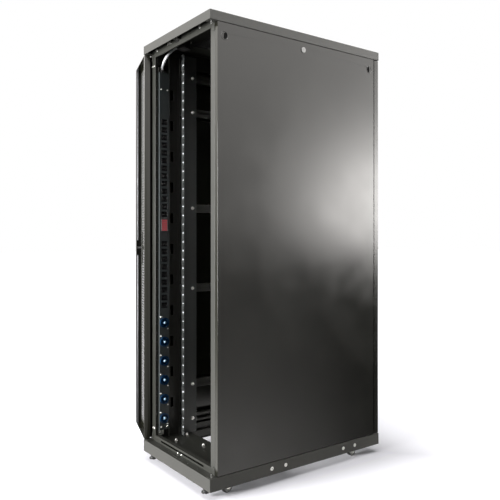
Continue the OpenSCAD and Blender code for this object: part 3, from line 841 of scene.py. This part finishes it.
def make_display():
    """The meter's display: a bezel round lit rows."""
    meter_low, meter_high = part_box("power_strip_meter")
    bottom, top = meter_high.z - 66 * MM, meter_high.z - 10 * MM
    front = meter_low.x
    half, rim = 19 * MM, 3 * MM
    builder = bmesh.new()
    for low_y, high_y, low_z, high_z in (
        (-half, half, bottom - rim, bottom),
        (-half, half, top, top + rim),
        (-half, rim - half, bottom, top),
        (half - rim, half, bottom, top),
    ):
        low = (front - 1.6 * MM, strip_y + low_y, low_z)
        add_block(builder, low, (front + 0.4 * MM, strip_y + high_y, high_z))
    soften(piece_from("meter_bezel", builder, "meter_plastic"), 0.6 * MM)
    builder = bmesh.new()
    height, gap, row_half = (top - bottom) / METER_ROWS, 0.8 * MM, 15 * MM
    for row in range(METER_ROWS):
        low = (front - 0.8 * MM, strip_y - row_half, bottom + row * height + gap)
        high = (front + 0.3 * MM, strip_y + row_half, bottom + (row + 1) * height - gap)
        add_block(builder, low, high)
    display = piece_from("meter_display", builder, "meter_plastic")
    display.data.materials[0] = lamp("display_red", DISPLAY_COLOUR, 0.5)
    soften(display, 0.3 * MM, 1)


# ---------------------------------------------------------------- the frame's fittings

# Profiles of (radius, height) points, in mm.
RING_PROFILE = [(14, 0), (14, 4), (12.5, 6), (9.5, 6), (8, 4.5), (8, 0)]
DOME_PROFILE = [(6.2, 0), (6.2, 0.6), (5.8, 2.2), (4.7, 3.6), (3.0, 4.5), (1.2, 4.9), (0, 5.0)]
# The cable clip's section, as (across, out) points in mm.
CLIP_SECTION = [
    (-15, 0), (-13, 2.5), (-8, 2.5), (-6, 7), (6, 7), (8, 2.5), (13, 2.5), (15, 0),
]


def make_frame_screws():
    """Two screws on the rear sill, and four on the right-hand rear post."""
    face_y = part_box("rear_header")[1].y
    post_low, post_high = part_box("post_rear_right")
    builder = bmesh.new()
    for x in (-5, 29):
        add_screw(builder, (centre_x + x * MM, face_y, base_high.z + 5.5 * MM), REAR, 8.5)
    for x in (post_low.x + 9 * MM, post_high.x - 9 * MM):
        for z in (base_high.z + 60 * MM, roof_low.z - 60 * MM):
            add_screw(builder, (x, post_high.y, z), REAR, 9)
    smooth(piece_from("frame_small_screws", builder, "zinc"))


def make_header_fittings():
    """A bump ring on the header, over the keeper, and a pressed cable clip beside it."""
    face_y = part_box("rear_header")[1].y
    level = roof_low.z + 9 * MM
    builder = bmesh.new()
    add_turned(builder, RING_PROFILE, (centre_x + 31 * MM, face_y, level), REAR, 40)
    smooth(piece_from("header_ring", builder, "handle_plastic"))
    builder = bmesh.new()
    edges = []
    for across, out in CLIP_SECTION:
        x, y = centre_x + (109 + across) * MM, face_y + out * MM
        heights = (level - 3 * MM, level + 7 * MM)
        edges.append([builder.verts.new((x, y, z)) for z in heights])
    for lower, upper in zip(edges, edges[1:]):
        builder.faces.new((lower[0], upper[0], upper[1], lower[1]))
    clip = piece_from("header_clip", builder, "zinc")
    thicken(clip, 1.2 * MM)
    soften(clip, 0.5 * MM)


def islands(name):
    """The low and high corners of each separate solid in a CAD node."""
    thing = nodes[name]
    builder = bmesh.new()
    builder.from_mesh(thing.data)
    builder.transform(thing.matrix_world)
    bmesh.ops.remove_doubles(builder, verts=builder.verts, dist=0.01 * MM)
    left, found = set(builder.verts), []
    while left:
        stack, group = [left.pop()], []
        while stack:
            vert = stack.pop()
            group.append(vert.co.copy())
            for edge in vert.link_edges:
                other = edge.other_vert(vert)
                if other in left:
                    left.remove(other)
                    stack.append(other)
        axes = list(zip(*group))
        found.append((Vector(map(min, axes)), Vector(map(max, axes))))
    builder.free()
    return found


def dome_on(builder, low, high, axis, direction):
    """A domed face on the middle of a box's side, along axis 0, 1 or 2."""
    place = (low + high) / 2
    place[axis] = (high if direction > 0 else low)[axis]
    normal = Vector()
    normal[axis] = direction
    add_turned(builder, DOME_PROFILE, place, normal, 28)


def make_bolt_domes():
    """The domed faces of the rail bolts, the deck screws and the screws under the roof."""
    builder = bmesh.new()
    for low, high in islands("rail_bolts"):
        dome_on(builder, low, high, 0, -1 if (low.x + high.x) / 2 > centre_x else 1)
    for low, high in islands("frame_screws"):
        size, middle = high - low, (low + high) / 2
        if size.z < min(size.x, size.y):
            dome_on(builder, low, high, 2, 1 if middle.z < 1 else -1)
        elif size.y < min(size.x, size.z):
            dome_on(builder, low, high, 1, 1 if middle.y > 0 else -1)
    smooth(piece_from("bolt_domes", builder, "zinc"))


MARK_NEAR, MARK_FAR = 2.5 * MM, 14 * MM
MARK_SUNK, MARK_PROUD = 0.1 * MM, 0.25 * MM
MARK_HALF_HEIGHT = 3 * MM
MARK_ABOVE_UNIT = 14.3 * MM


def make_unit_marks():
    """A printed mark for each rack unit, between the holes of every rail."""
    for end in ("rear", "front"):
        for side in ("left", "right"):
            low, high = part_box(f"rail_{end}_{side}")
            face_y, out = (high.y, 1) if end == "rear" else (low.y, -1)
            edge_x, along = (high.x, -1) if side == "left" else (low.x, 1)
            xs = sorted(edge_x + along * reach for reach in (MARK_NEAR, MARK_FAR))
            ys = sorted((face_y - out * MARK_SUNK, face_y + out * MARK_PROUD))
            bottom = (low.z + high.z) / 2 - UNITS / 2 * UNIT
            builder = bmesh.new()
            for unit in range(UNITS):
                z = bottom + unit * UNIT + MARK_ABOVE_UNIT
                zs = (z - MARK_HALF_HEIGHT, z + MARK_HALF_HEIGHT)
                add_block(builder, *zip(xs, ys, zs))
            piece_from(f"unit_marks_{end}_{side}", builder, "mark_white")


# ---------------------------------------------------------------- the side panels' fittings

# Profiles of (radius, height) points, in mm.
LATCH_RING_PROFILE = [
    (14.6, -0.4), (15.2, 0.6), (16.2, 1.2), (17.4, 1.2), (18.4, 0.6), (18.8, -0.4),
]
LATCH_CUP_PROFILE = [(9.4, 0.1), (7.2, 0.3), (4.5, 0.15), (2, 0.1), (0, 0.1)]


def make_shade_lip():
    """The rubber lip on the far side panel's rear edge, near-black and matt so that it also paints
    the shade in the gap beside the open leaf.
    """
    low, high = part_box("side_panel_right")
    builder = bmesh.new()
    lip_low = (high.x + 0.2 * MM, high.y - 3 * MM, low.z + 2 * MM)
    lip_high = (high.x + 2.7 * MM, high.y + 4.7 * MM, high.z - 2 * MM)
    add_block(builder, lip_low, lip_high)
    # Matt near-black: painted shade for the gap between this edge and the open leaf.
    soften(piece_from("panel_shade_lip", builder, "latch_plastic"), 0.8 * MM)


def make_latch_rings():
    """A ring and a shallow cup round each of the side panels' slide latches."""
    for side in ("left", "right"):
        low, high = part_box("panel_latches_" + side)
        outer_x, axis = (low.x, LEFT) if side == "left" else (high.x, -LEFT)
        level = (low.z + high.z) / 2 + 2 * MM
        for end_y in (low.y, high.y):
            place = (outer_x, end_y + math.copysign(6.5 * MM, -end_y), level)
            builder = bmesh.new()
            add_turned(builder, LATCH_RING_PROFILE, place, axis, 44)
            smooth(piece_from("latch_ring", builder, "handle_plastic"))
            builder = bmesh.new()
            add_turned(builder, LATCH_CUP_PROFILE, place, axis, 28)
            smooth(piece_from("latch_cup", builder, "latch_plastic"))


# ---------------------------------------------------------------- the roof's brushes

# A holder's section, as (out from the slot's middle, up from the roof) points in mm.
HOLDER_SECTION = [
    (41, 0), (56, 0), (56, 1.5), (54.5, 5), (44, 5), (43, 4.5), (43, 3.8), (41, 3.8),
]
HOLDER_END = 13 * MM
BRISTLES = 420
# A bristle's section, as (along, up) points in mm.
BRISTLE_SECTION = [(-0.75, -0.3), (0.75, -0.3), (0, 0.5)]


def make_brush_holders(low, high):
    """The two holders along the cable slot, and the blocks that close its ends."""
    middle, top = (low.y + high.y) / 2, roof_high.z
    builder = bmesh.new()
    for side in (-1, 1):
        near, far = (
            [
                builder.verts.new((x, middle + side * out * MM, top + up * MM))
                for out, up in HOLDER_SECTION
            ]
            for x in (low.x, high.x)
        )
        add_prism(builder, near, far)
        builder.faces.new(near)
        builder.faces.new(far)
    for near, far in ((low.x, low.x + HOLDER_END), (high.x - HOLDER_END, high.x)):
        end_low = (near, middle - 41.5 * MM, top)
        add_block(builder, end_low, (far, middle + 41.5 * MM, top + 4.6 * MM))
    bmesh.ops.recalc_face_normals(builder, faces=builder.faces)
    soften(piece_from("brush_holders", builder, "brush"), 0.3 * MM, 1)


def make_bristles(low, high):
    """Bristles from both holders to the slot's middle, uneven by a fixed rule."""
    middle, top = (low.y + high.y) / 2, roof_high.z
    span = high.x - low.x - 2 * HOLDER_END
    builder = bmesh.new()
    for side in (-1, 1):
        for k in range(BRISTLES):
            x = low.x + HOLDER_END + span * (k + 0.5) / BRISTLES
            sway = 0.7 * MM * math.sin(k * 12.9898 + side)
            tip_y = middle - side * (1.5 + 1.5 * abs(math.sin(k * 4.1))) * MM
            root_y = middle + side * 43 * MM
            level = top + (2.4 + 0.6 * math.sin(k * 7.7) + 0.3 * side) * MM
            root, tip = (
                [
                    builder.verts.new((x + shift + along * MM, y, level + up * MM))
                    for along, up in BRISTLE_SECTION
                ]
                for y, shift in ((root_y, 0), (tip_y, sway))
            )
            add_prism(builder, root, tip)
            builder.faces.new(root)
            builder.faces.new(tip)
    bmesh.ops.recalc_face_normals(builder, faces=builder.faces)
    bristles = piece_from("brush_bristles", builder, "brush")
    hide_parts("roof_brush_strips")


# ---------------------------------------------------------------- the scene

make_camera()
materials = make_materials()
make_lead(lead_route())
make_sky()
make_lights()
make_floor()
dress_cad()
make_front_sheet()
make_leaf_sheet()
make_strip_screws()
make_socket_caps()
make_display()
make_frame_screws()
make_header_fittings()
make_bolt_domes()
make_unit_marks()
make_shade_lip()
make_latch_rings()
make_brush_holders(*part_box("roof_brush_strips"))
make_bristles(*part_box("roof_brush_strips"))
scene.view_settings.view_transform = "Standard"
